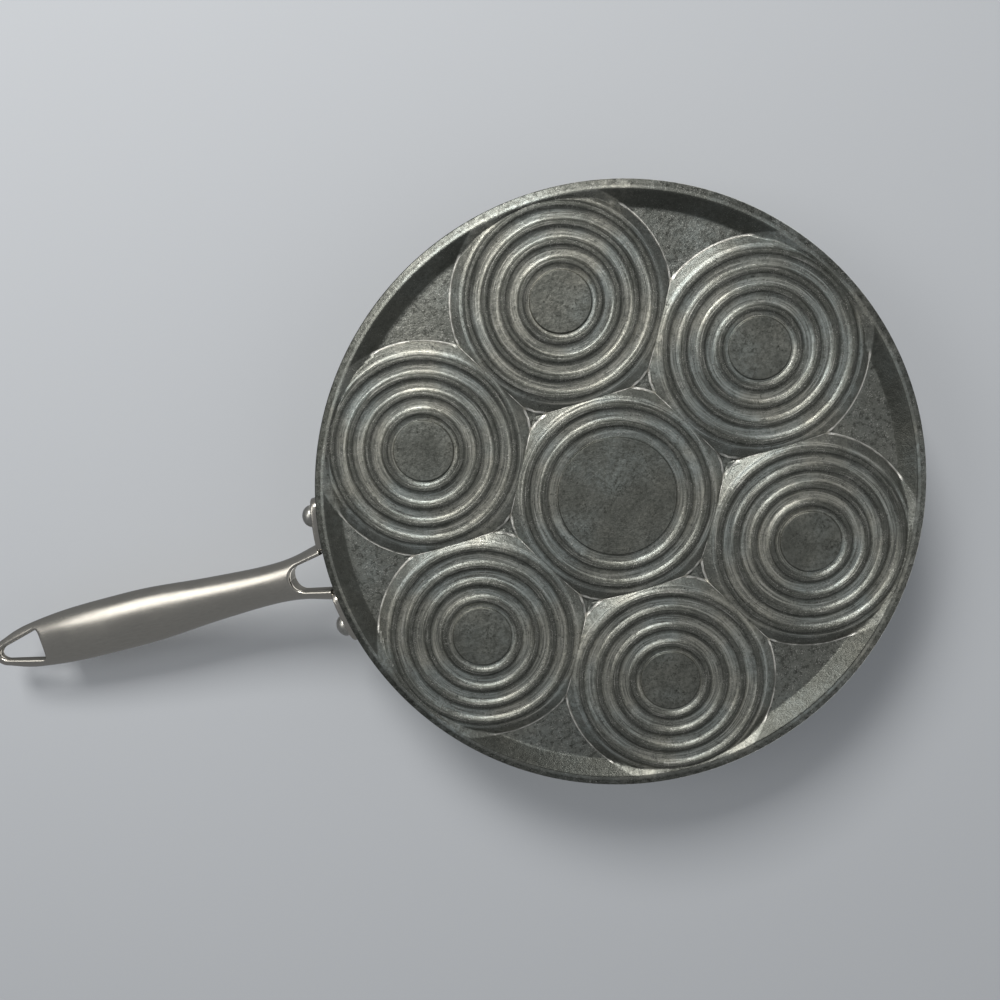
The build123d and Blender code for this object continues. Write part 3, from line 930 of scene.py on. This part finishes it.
def line_distance(x, y, line):
    """Distance from points to a line of straight runs: to the nearest point of the nearest run."""
    start, run = line[:-1], np.diff(line, axis=0)
    from_x, from_y = x[..., None] - start[:, 0], y[..., None] - start[:, 1]
    share = np.clip((from_x * run[:, 0] + from_y * run[:, 1]) / (run**2).sum(1), 0, 1)
    return np.hypot(from_x - share * run[:, 0], from_y - share * run[:, 1]).min(-1)


# Least shares of the handle's width and thickness, at its tip
TIP_LEAST_WIDTH = 0.0152
TIP_LEAST_THICKNESS = 0.2714


def handle_grid(size, wall, rivet_height):
    """The fork, grip and loop as two half strips of cross-sections, with walls only inside the openings.

    A section is a squared oval: height = thickness times (1 - share^n)^(1/n), with share the distance from
    the middle over the half width. Near an opening the height falls by a quarter circle of edge_round. The
    field opening is 1 on the walls inside the openings and 0 elsewhere.
    """
    reach = handle_stations(size, wall)
    knots, halves, thicks, squares = handle_plan(size, wall)
    narrowing = np.maximum(rounded_end(size.tip - reach, TIP_ROUND, 2.2), TIP_LEAST_WIDTH)
    thinning = np.maximum(rounded_end(size.tip - reach, TIP_ROUND, 3), TIP_LEAST_THICKNESS)
    half_width = (spline(knots, halves, reach) * narrowing)[:, None]
    thick = (spline(knots, thicks, reach) * thinning)[:, None]
    square = np.interp(reach, knots, squares)[:, None]
    inner = opening_edge(size, wall, reach)
    is_open = inner > 0
    crotch, base, end = opening_ends(size, wall)
    outline = np.stack([reach, inner], 1)
    fork_line = np.concatenate([outline[is_open & (reach < crotch)], [(crotch, 0)]])
    hole_line = np.concatenate([[(base, 0)], outline[is_open & (reach > base)], [(end, 0)]])
    shares = (1 - np.cos(np.linspace(0, pi, 23))) / 2
    y = inner[:, None] + (half_width - inner[:, None]) * shares
    x = np.repeat(reach[:, None], len(shares), 1)
    rise = thick * np.clip(1 - (y / half_width) ** square, 0, 1) ** (1 / square)
    gap = np.minimum(line_distance(x, y, fork_line), line_distance(x, y, hole_line))
    edge = np.clip(size.edge_round - gap, 0, None)
    drop = size.edge_round - np.sqrt(np.maximum(size.edge_round**2 - edge**2, 0))
    rise = np.maximum(rise - drop, 0.0)
    middle = handle_height(size, wall, rivet_height, x)
    open_runs = is_open[:-1] | is_open[1:]
    opening = np.zeros_like(x)
    opening[:-1, 0] = open_runs
    opening[1:, 0] = np.maximum(opening[1:, 0], is_open[:-1])
    index = np.arange(x.size).reshape(x.shape)
    low = index + x.size
    quads = np.stack([index[:-1, :-1], index[:-1, 1:], index[1:, 1:], index[1:, :-1]], -1).reshape(-1, 4)
    walls = np.stack([index[:-1, 0], index[1:, 0], low[1:, 0], low[:-1, 0]], -1)[open_runs]
    root = np.stack([index[0, 1:], index[0, :-1], low[0, :-1], low[0, 1:]], -1)
    faces = [quads, quads[:, ::-1] + x.size, walls, root]
    parts = []
    for side in (1, -1):
        halves = [np.stack([-x, side * y, height, opening], -1).reshape(-1, 4)
                  for height in (middle + rise, middle - rise)]
        parts.append((np.concatenate(halves), [f[:, ::side] for f in faces]))
    return parts


# Rounding of a flange's corners and edges, and its clearance from the wall
FLANGE_CORNER = 6.0 * MM
FLANGE_EDGE = 0.7 * MM
FLANGE_CLEARANCE = 0.1 * MM
# Inner rows of a flange's faces, as shares of the way from their middle
FLANGE_ROWS = np.array([0.05, 0.3, 0.6, 0.85])


def flange_grid(casting, size, side, rivet_height):
    """One flange: a plate with rounded corners and edges, bent round the leaning wall.

    Rows run from the middle of the back face over the rounded edge to the middle of the front face. Each
    row is the plate's outline moved in by an inset; the depth follows a quarter circle at each edge.
    """
    half = np.array([size.flange_end - FORK_START_HALF, size.flange_height]) / 2
    centre = np.array([(size.flange_end + FORK_START_HALF) / 2, rivet_height])
    turns = np.linspace(0, 2 * pi, 96, endpoint=False)
    rising, falling = (part(np.linspace(0, pi / 2, 6)) * FLANGE_EDGE for part in (np.sin, np.cos))
    insets = FLANGE_EDGE - np.concatenate([rising, falling])
    depths = np.concatenate([np.zeros(4), FLANGE_EDGE - falling, size.flange_thickness - FLANGE_EDGE + rising,
                             np.full(4, size.flange_thickness)]) + FLANGE_CLEARANCE
    direction = np.stack([np.cos(turns), np.sin(turns)], 1)
    straight = np.sign(direction) * (half - FLANGE_CORNER) * np.clip(np.sqrt(np.abs(direction)) * 1.6, 0, 1)
    rows = centre + straight + direction * (FLANGE_CORNER - insets)[:, None, None]
    back = centre + (rows[0] - centre) * FLANGE_ROWS[:, None, None]
    front = centre + (rows[-1] - centre) * FLANGE_ROWS[::-1][:, None, None]
    y, z = np.moveaxis(np.concatenate([back, rows, front]), -1, 0)
    radius = wall_reach(casting, z) + depths[:, None] / cos(casting.lean)
    x = -np.sqrt(radius**2 - y**2)
    points = np.stack([x, side * y, z, np.zeros_like(x)], -1).reshape(-1, 4)
    index = np.arange(x.size).reshape(x.shape)
    hubs = [points[index[row]].mean(0) for row in (0, -1)]
    faces = [closed_quads(index), fan(x.size, index[0]), fan(x.size + 1, index[-1])[:, ::-1]]
    return np.concatenate([points, hubs]), [f[:, ::side] for f in faces]


# Scratches of the brushed steel: 2.2 of them in 25 mm along the handle and in 1 mm across it. Real ones are
# finer than the render shows. Smudges are about 18 mm wide.
SCRATCH = (25 * MM, MM, MM)
SCRATCHES = 2.2
SMUDGE = 18.18 * MM


def brushed_steel(colours):
    """Cast and satin-brushed stainless steel, with the grain along the handle.

    To the eye: a warm grey metal with long soft highlights that the fine lengthwise scratches streak. The
    walls inside the openings are dull, and darkened towards the soot colour as painted shade.
    """
    material, tree = new_material("brushed_stainless_steel")
    place = add_node(tree, "ShaderNodeTexCoord", output="Object")
    along = add_node(tree, "ShaderNodeVectorMath", {
        0: place, 1: tuple(1 / side for side in SCRATCH)}, operation="MULTIPLY")
    grain = add_node(tree, "ShaderNodeTexNoise", {
        "Vector": along, "Scale": SCRATCHES, "Detail": 5.0, "Roughness": 0.7}, output="Fac")
    smudge = add_node(tree, "ShaderNodeTexNoise", {
        "Vector": place, "Scale": 1 / SMUDGE, "Detail": 3.0}, output="Fac")
    opening = add_node(tree, "ShaderNodeAttribute", output="Fac", attribute_name="opening")
    shade, rough = (
        add_node(tree, "ShaderNodeMapRange", {
            "Value": pattern, "From Min": 0.3, "From Max": 0.7, "To Min": low, "To Max": high})
        for pattern, low, high in ((grain, 0.0, 0.35), (smudge, 0.2, 0.27)))
    # Painted shade: the walls inside the openings are mixed towards the soot colour
    dull = add_node(tree, "ShaderNodeMath", {0: opening, 1: 0.8}, operation="MULTIPLY")
    tone = colours.steel
    for share, layer in ((shade, darker(colours.steel, 0.62)), (dull, colours.soot_and_shade)):
        tone = add_node(tree, "ShaderNodeMix", {0: share, 6: tone, 7: layer}, output=2, data_type="RGBA")
    rough = add_node(tree, "ShaderNodeMath", {0: opening, 1: 0.4, 2: rough}, operation="MULTIPLY_ADD")
    metal_surface(tree, tone, 1.0, rough, grain, 0.02 * MM, 0.6)
    return material


class PAN_OT_handle(bpy.types.Operator):
    """Makes the handle: the fork, grip and loop, and the two flanges on the wall."""
    bl_idname = "pan.handle"
    bl_label = "Handle"

    def execute(self, context):
        casting, size, rivets = context.scene.pan_casting, context.scene.pan_handle, context.scene.pan_rivets
        parts = handle_grid(size, wall_reach(casting, rivets.height), rivets.height)
        for side in (1, -1):
            parts.append(flange_grid(casting, size, side, rivets.height))
        points, faces = join_points(parts)
        material = brushed_steel(context.scene.pan_colours)
        piece = make_piece("handle_body", points, faces, material, fields=("opening",))
        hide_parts("handle")
        return {"FINISHED"}


# Width of the spots on a rivet
RIVET_SPOT = 1.111 * MM


def satin_rivet(colours):
    """Headed aluminium rivet with a satin dome.

    To the eye: a pale, slightly mottled metal button with one soft highlight.
    """
    material, tree = new_material("satin_rivet_aluminium")
    place = add_node(tree, "ShaderNodeTexCoord", output="Object")
    spots = add_node(tree, "ShaderNodeTexNoise", {
        "Vector": place, "Scale": 1 / RIVET_SPOT, "Detail": 3.0}, output="Fac")
    tone = add_node(tree, "ShaderNodeMix", {
        0: spots, 6: colours.rivet, 7: darker(colours.rivet, 0.5)}, output=2, data_type="RGBA")
    metal_surface(tree, tone, 1.0, 0.36, spots, 0.03 * MM, 0.7)
    return material


# A rivet's shank, and how deep its heads sink into what they clamp
SHANK_RADIUS = 2.5 * MM
HEAD_SINK = 0.1 * MM
# How far a head's underside is drawn in from its widest part
HEAD_UNDERCUT = 0.99


def rivet_grid(casting, handle, size, side):
    """One rivet: a half section turned about the line square to the wall through its middle."""
    wall_face = casting.wall * cos(casting.lean) + HEAD_SINK
    flange_face = handle.flange_thickness + 2 * FLANGE_CLEARANCE
    quarter = np.linspace(0, pi / 2, 10)
    dome = [(size.head * sin(a), flange_face + size.head_rise * cos(a)) for a in quarter]
    inner = [(size.inner_head * cos(a), -wall_face - size.inner_rise * sin(a)) for a in quarter]
    shank = [(size.head * HEAD_UNDERCUT, flange_face - HEAD_SINK), (SHANK_RADIUS, flange_face - HEAD_SINK),
             (SHANK_RADIUS, HEAD_SINK - wall_face), (size.inner_head * HEAD_UNDERCUT, HEAD_SINK - wall_face)]
    radius, depth = np.array(dome + shank + inner).T[..., None, None]
    turns = np.linspace(0, 2 * pi, 48, endpoint=False)[:, None]
    reach = wall_reach(casting, size.height)
    azimuth = pi - side * asin(size.half_spacing / reach)
    origin = np.array([reach * cos(azimuth), reach * sin(azimuth), size.height])
    out = np.array([cos(azimuth) * cos(casting.lean), sin(azimuth) * cos(casting.lean), -sin(casting.lean)])
    across = np.array([-sin(azimuth), cos(azimuth), 0.0])
    ring = np.cos(turns) * across + np.sin(turns) * np.cross(out, across)
    points = origin + depth * out + radius * ring
    index = np.arange(points.size // 3).reshape(points.shape[:2])
    faces = [closed_quads(index[1:-1]), fan(index[0, 0], index[1]), fan(index[-1, 0], index[-2])[:, ::-1]]
    return points.reshape(-1, 3), faces


class PAN_OT_rivets(bpy.types.Operator):
    """Makes the two rivets."""
    bl_idname = "pan.rivets"
    bl_label = "Rivets"

    def execute(self, context):
        scene = context.scene
        material = satin_rivet(scene.pan_colours)
        for side, name in ((1, "left"), (-1, "right")):
            grid = rivet_grid(scene.pan_casting, scene.pan_handle, scene.pan_rivets, side)
            points, faces = join_points([grid])
            piece = make_piece(f"{name}_rivet", points, faces, material)
            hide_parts(f"rivet_{name}")
        return {"FINISHED"}


def stage_plane(name, height, half, facing_up, floor_colour):
    """A large matt plane that only the camera sees, from its front. It takes shadows and throws none."""
    corners = [(-half, -half, height), (half, -half, height), (half, half, height), (-half, half, height)]
    mesh = bpy.data.meshes.new(name)
    mesh.from_pydata(corners, [], [(0, 1, 2, 3) if facing_up else (3, 2, 1, 0)])
    plane = bpy.data.objects.new(name, mesh)
    bpy.context.scene.collection.objects.link(plane)
    material, tree = new_material(name)
    behind = add_node(tree, "ShaderNodeNewGeometry", output="Backfacing")
    matt = add_node(tree, "ShaderNodeBsdfDiffuse", {"Color": floor_colour})
    clear = add_node(tree, "ShaderNodeBsdfTransparent")
    shader = add_node(tree, "ShaderNodeMixShader", {0: behind, 1: matt, 2: clear})
    add_node(tree, "ShaderNodeOutputMaterial", {"Surface": shader})
    mesh.materials.append(material)
    for ray in ("diffuse", "glossy", "transmission", "volume_scatter", "shadow"):
        setattr(plane, f"visible_{ray}", False)


def lamp(name, place, aim, size, power):
    """A soft square lamp that points at aim."""
    light = bpy.data.lights.new(name, "AREA")
    light.shape, light.size, light.energy = "SQUARE", size, power
    holder = bpy.data.objects.new(name, light)
    turn = (aim - place).to_track_quat("-Z", "Y")
    holder.matrix_world = Matrix.Translation(place) @ turn.to_matrix().to_4x4()
    bpy.context.scene.collection.objects.link(holder)


# Framing of the picture, as shares of its width, on the sensor that the lens is given for
SENSOR_WIDTH = 36.0
SHIFT_X = -0.00768
SHIFT_Y = 0.0215
LAMP_AIM = (-0.02, 0, 0.01)
# Lamps under the pan: their place to the right of their aim, above it and ahead, as the camera sees it, and
# their width, in metres, with the setting that gives their power
LOWER_LAMPS = (
    ("key_below", (-0.42, 0.76, -1.0), 0.45, "key"),
    ("window_below", (-1.0, 0.06, -1.0), 0.6, "window"),
    ("fill_below", (1.1, -0.4, -0.9), 1.6, "fill"),
)
# Lamps over the pan: their place along the pan's axes from their aim, and their width
UPPER_LAMPS = (("key_above", (0.8, 1.1, 1.3)), ("fill_above", (0.9, -1.2, 1.1)))
UPPER_LAMP_WIDTH = 2.0
# Heights and half widths of the floor, just under the pan, and of the backdrop over it
FLOOR = (-0.0002, 3.0)
BACKDROP = (0.056, 0.6)


class PAN_OT_stage(bpy.types.Operator):
    """Sets the camera, the lamps, the pale surroundings, the floor and the backdrop."""
    bl_idname = "pan.stage"
    bl_label = "Stage"

    def execute(self, context):
        scene, stage, colours = context.scene, context.scene.pan_stage, context.scene.pan_colours
        place = Vector(stage.camera_place)
        forward = (Vector(stage.camera_aim) - place).normalized()
        hint = Vector((cos(stage.camera_up), sin(stage.camera_up), 0))
        up = (hint - hint.dot(forward) * forward).normalized()
        right = forward.cross(up)
        view = bpy.data.cameras.new("camera")
        view.lens, view.sensor_width, view.shift_x, view.shift_y = stage.lens, SENSOR_WIDTH, SHIFT_X, SHIFT_Y
        view.clip_start, view.clip_end = 0.01, 20.0
        camera = bpy.data.objects.new("camera", view)
        camera.matrix_world = Matrix((right, up, -forward)).transposed().to_4x4()
        camera.location = place
        scene.collection.objects.link(camera)
        scene.camera = camera

        aim = Vector(LAMP_AIM)
        for name, (across, rise, ahead), width, power in LOWER_LAMPS:
            spot = aim + across * right + rise * up + ahead * forward
            lamp(name, spot, aim, width, getattr(stage, power))
        for name, offset in UPPER_LAMPS:
            lamp(name, aim + Vector(offset), aim, UPPER_LAMP_WIDTH, stage.top)
        stage_plane("floor", *FLOOR, True, colours.floor)
        stage_plane("backdrop", *BACKDROP, False, colours.floor)

        world = bpy.data.worlds.new("pale_room")
        world.use_nodes = True
        tree = world.node_tree
        tree.nodes.clear()
        room = add_node(tree, "ShaderNodeBackground", {"Color": colours.room, "Strength": stage.room})
        add_node(tree, "ShaderNodeOutputWorld", {"Surface": room})
        scene.world = world
        scene.view_settings.view_transform = "Standard"
        return {"FINISHED"}


class PAN_PT_panel(bpy.types.Panel):
    """Lists the pan's settings and the steps that build it."""
    bl_label = "Ringed pan"
    bl_idname = "PAN_PT_panel"
    bl_space_type = "VIEW_3D"
    bl_region_type = "UI"
    bl_category = "Pan"

    def draw(self, context):
        for step in ("casting", "handle", "rivets", "stage"):
            box = self.layout.box()
            box.operator(f"pan.{step}")
            settings = getattr(context.scene, f"pan_{step}")
            for name in settings.__annotations__:
                box.prop(settings, name)
        box = self.layout.box()
        for name in FinishColours.__annotations__:
            box.prop(context.scene.pan_colours, name)


GROUPS = {"pan_casting": CastingSizes, "pan_handle": HandleSizes, "pan_rivets": RivetSizes,
          "pan_colours": FinishColours, "pan_stage": StageSettings}
OPERATORS = (PAN_OT_casting, PAN_OT_handle, PAN_OT_rivets, PAN_OT_stage)


def register():
    """Registers the settings, the operators and the panel."""
    for name, group in GROUPS.items():
        bpy.utils.register_class(group)
        setattr(bpy.types.Scene, name, PointerProperty(type=group))
    for part in (*OPERATORS, PAN_PT_panel):
        bpy.utils.register_class(part)


def unregister():
    """Removes what register added."""
    for part in (PAN_PT_panel, *reversed(OPERATORS)):
        bpy.utils.unregister_class(part)
    for name, group in reversed(GROUPS.items()):
        delattr(bpy.types.Scene, name)
        bpy.utils.unregister_class(group)


def main():
    """Builds the pan and its stage."""
    register()
    bpy.ops.pan.casting()
    bpy.ops.pan.handle()
    bpy.ops.pan.rivets()
    bpy.ops.pan.stage()


if __name__ == "__main__":
    main()
